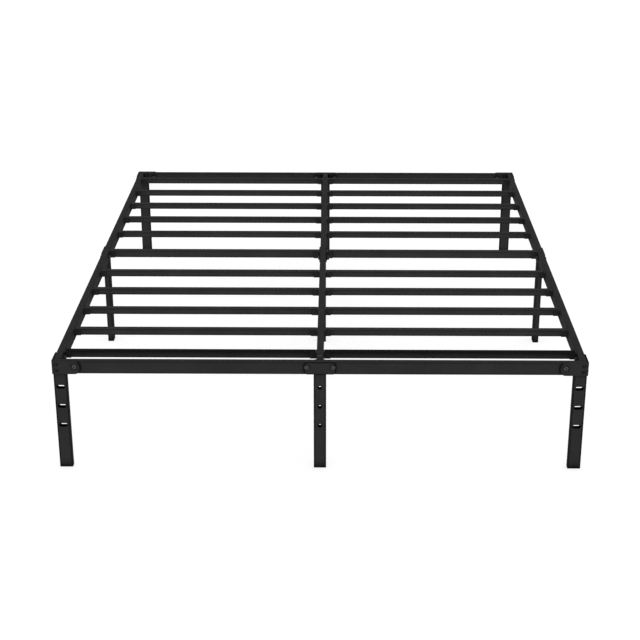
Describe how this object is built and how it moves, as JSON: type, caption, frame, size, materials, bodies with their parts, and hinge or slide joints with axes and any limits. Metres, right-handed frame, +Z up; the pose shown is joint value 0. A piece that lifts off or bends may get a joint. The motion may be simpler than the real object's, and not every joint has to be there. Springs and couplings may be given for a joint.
{
  "type": "platform bed frame",
  "caption": "Low metal platform bed frame: bolted rectangular steel tubes, square legs with headboard slots, a centre beam and cross slats in plastic sockets",
  "frame": {"origin": "on the floor under the middle of the frame", "axes": "+X to the right seen from the foot end, +Y to the head end, +Z up"},
  "size_m": [1.5388, 2.0468, 0.3368],
  "materials": {
    "powder_coat": "matt black powder coat",
    "slat_coat": "matt black powder coat",
    "plate_coat": "matt black powder coat",
    "bracket_coat": "matt black powder coat",
    "black_plastic": "moulded matt black",
    "bolt_steel": "black zinc",
    "screw_steel": "black zinc"
  },
  "bodies": {
    "root": {"beam_end_screws": "screw_steel", "beam_foot": "powder_coat", "beam_head": "powder_coat", "beam_spigots": "powder_coat", "centre_leg_foot": "powder_coat", "centre_leg_head": "powder_coat", "centre_leg_middle": "powder_coat", "corner_bracket_foot_left": "bracket_coat", "corner_bracket_foot_right": "bracket_coat", "corner_bracket_head_left": "bracket_coat", "corner_bracket_head_right": "bracket_coat", "corner_leg_foot_left": "powder_coat", "corner_leg_foot_right": "powder_coat", "corner_leg_head_left": "powder_coat", "corner_leg_head_right": "powder_coat", "cross_bar_left": "slat_coat", "cross_bar_right": "slat_coat", "flange_nuts": "screw_steel", "foot_rail_left": "powder_coat", "foot_rail_right": "powder_coat", "head_rail_left": "powder_coat", "head_rail_right": "powder_coat", "joint_plate_foot": "plate_coat", "joint_plate_head": "plate_coat", "joint_plate_left": "plate_coat", "joint_plate_right": "plate_coat", "leg_foot_plugs": "black_plastic", "leg_top_caps": "powder_coat", "rail_bolts": "bolt_steel", "side_leg_left": "powder_coat", "side_leg_right": "powder_coat", "side_rail_foot_left": "powder_coat", "side_rail_foot_right": "powder_coat", "side_rail_head_left": "powder_coat", "side_rail_head_right": "powder_coat", "slat_left_01": "slat_coat", "slat_left_02": "slat_coat", "slat_left_03": "slat_coat", "slat_left_04": "slat_coat", "slat_left_05": "slat_coat", "slat_left_06": "slat_coat", "slat_left_07": "slat_coat", "slat_left_08": "slat_coat", "slat_left_09": "slat_coat", "slat_left_10": "slat_coat", "slat_right_01": "slat_coat", "slat_right_02": "slat_coat", "slat_right_03": "slat_coat", "slat_right_04": "slat_coat", "slat_right_05": "slat_coat", "slat_right_06": "slat_coat", "slat_right_07": "slat_coat", "slat_right_08": "slat_coat", "slat_right_09": "slat_coat", "slat_right_10": "slat_coat", "slat_sockets": "black_plastic", "splice_bolts": "bolt_steel", "splice_plate_left": "plate_coat", "splice_plate_right": "plate_coat"}
  },
  "joints": []
}
